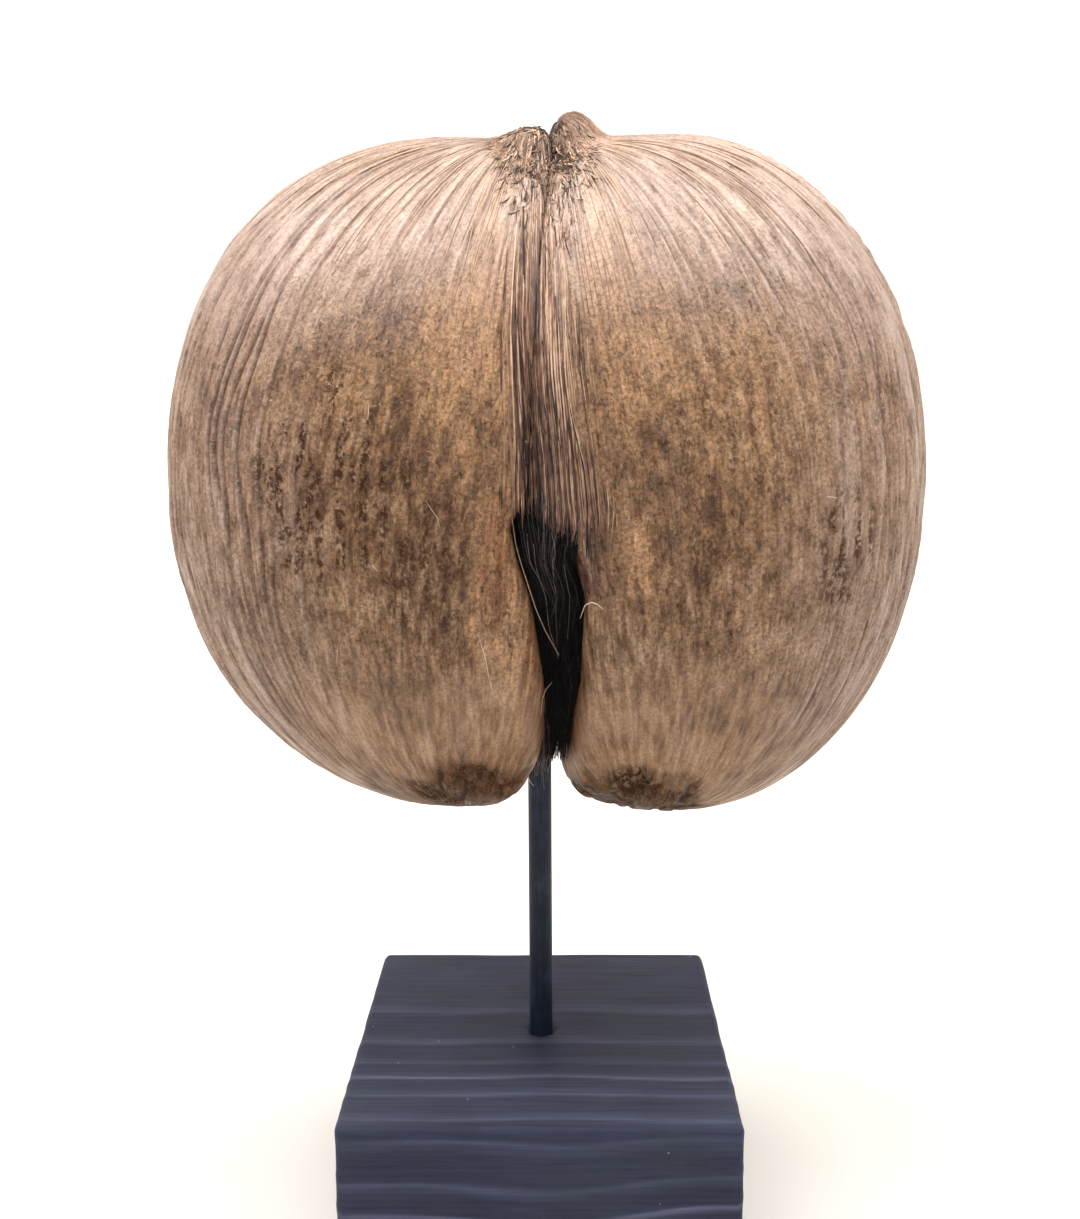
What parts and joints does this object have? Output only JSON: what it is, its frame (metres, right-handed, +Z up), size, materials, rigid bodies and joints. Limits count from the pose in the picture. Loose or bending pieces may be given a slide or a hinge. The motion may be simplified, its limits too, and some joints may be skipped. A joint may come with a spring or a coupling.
{
  "type": "coco de mer seed",
  "caption": "Double-lobed palm seed with fibre ridges, a rough crown and a cleft filled with dark husk fibre, held on a round bar in a square wooden block.",
  "frame": {"origin": "middle of the block's underside, where the stand rests", "axes": "+Z up along the bar, -Y towards the seed's front with the fibre-filled cleft, +X to the right seen from the front"},
  "size_m": [0.2859, 0.1867, 0.4366],
  "materials": {
    "seed_husk": "dry fibrous grey-brown husk",
    "tuft_fibre": "coarse black plant fibre",
    "rod_paint": "satin blue-black paint on a steel bar",
    "block_stain": "blue-black stained softwood with raised grain"
  },
  "bodies": {
    "root": {"seed": "seed_husk", "fibre_tuft": "tuft_fibre", "rod": "rod_paint", "block": "block_stain"}
  },
  "joints": []
}
